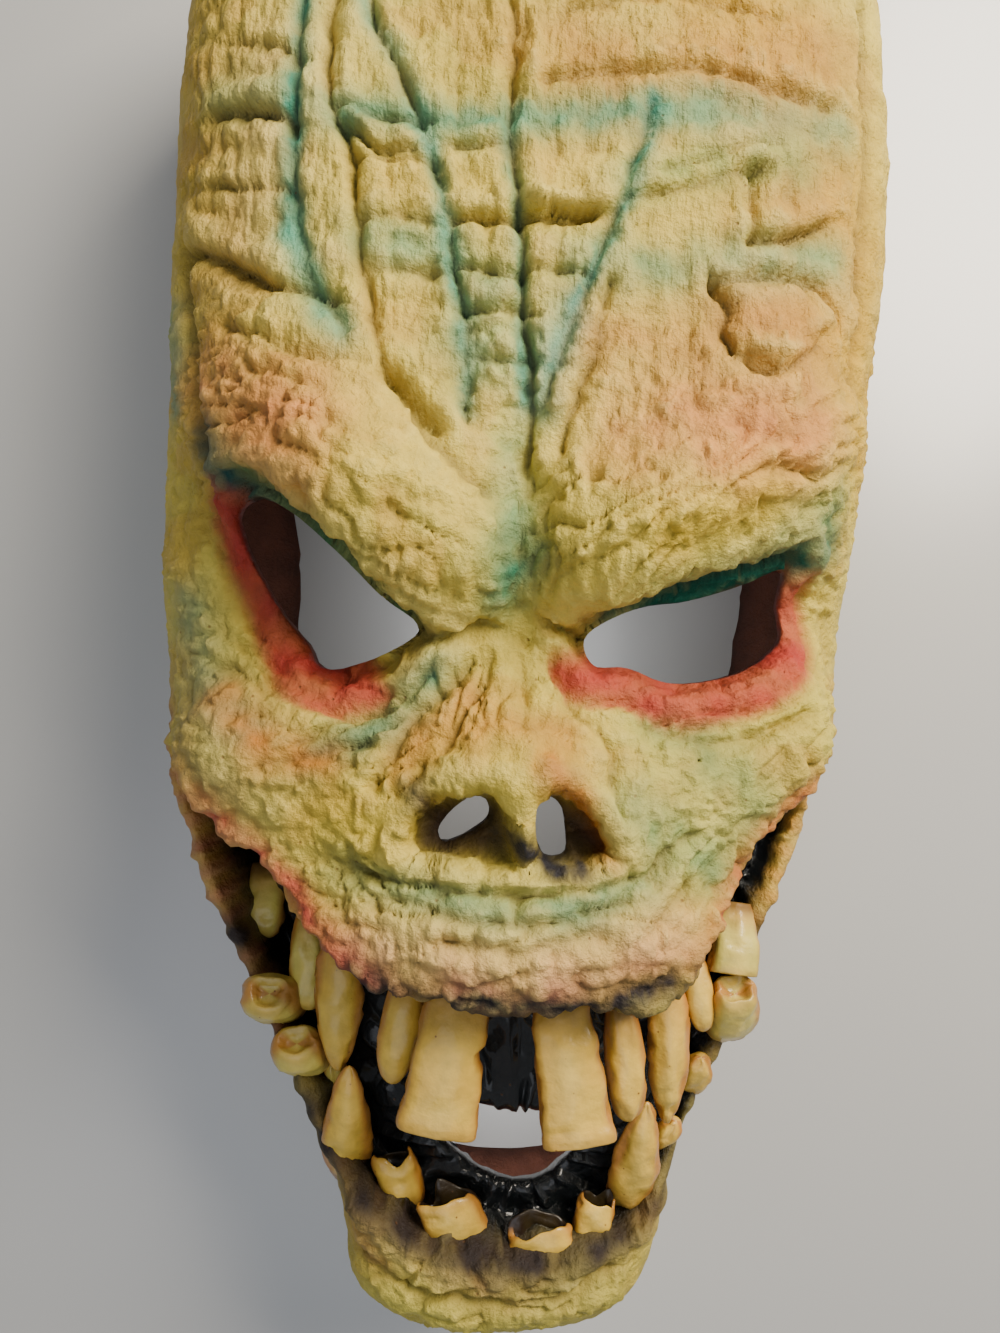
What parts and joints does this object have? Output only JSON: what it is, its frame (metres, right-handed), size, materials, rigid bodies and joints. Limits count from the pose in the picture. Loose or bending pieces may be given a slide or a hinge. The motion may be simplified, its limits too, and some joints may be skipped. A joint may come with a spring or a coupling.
{
  "type": "latex demon mask",
  "caption": "Full-face demon mask of cast latex: heavy brows, slit eye openings, skull-like nose, gaping grin with crooked separate teeth, long forehead, open back.",
  "frame": {"origin": "centre of the bounding box, in the plane of the rear rim", "axes": "+X to the right of the face as an onlooker sees it, +Y towards the crown, +Z out of the face"},
  "size_m": [0.2183, 0.4569, 0.1472],
  "materials": {
    "painted_latex": "matt cast latex, airbrushed ochre with teal veins, red lower lids and black gums, bare reddish-brown latex inside",
    "tooth_latex": "glossy painted latex, stained ivory yellow"
  },
  "bodies": {
    "root": {"mask_skin": "painted_latex", "upper_left_central_incisor": "tooth_latex", "upper_right_central_incisor": "tooth_latex", "upper_left_lateral_incisor": "tooth_latex", "upper_right_lateral_incisor": "tooth_latex", "upper_left_fang": "tooth_latex", "upper_right_fang": "tooth_latex", "upper_left_premolar": "tooth_latex", "upper_right_premolar": "tooth_latex", "upper_left_molar": "tooth_latex", "upper_right_molar": "tooth_latex", "lower_left_fang": "tooth_latex", "lower_right_fang": "tooth_latex", "lower_left_incisor": "tooth_latex", "lower_left_lateral": "tooth_latex", "lower_right_incisor": "tooth_latex", "lower_right_lateral": "tooth_latex", "lower_left_premolar": "tooth_latex", "lower_right_premolar": "tooth_latex", "lower_left_molar": "tooth_latex", "lower_right_molar": "tooth_latex", "lower_left_back_molar": "tooth_latex", "lower_right_back_molar": "tooth_latex"}
  },
  "joints": []
}
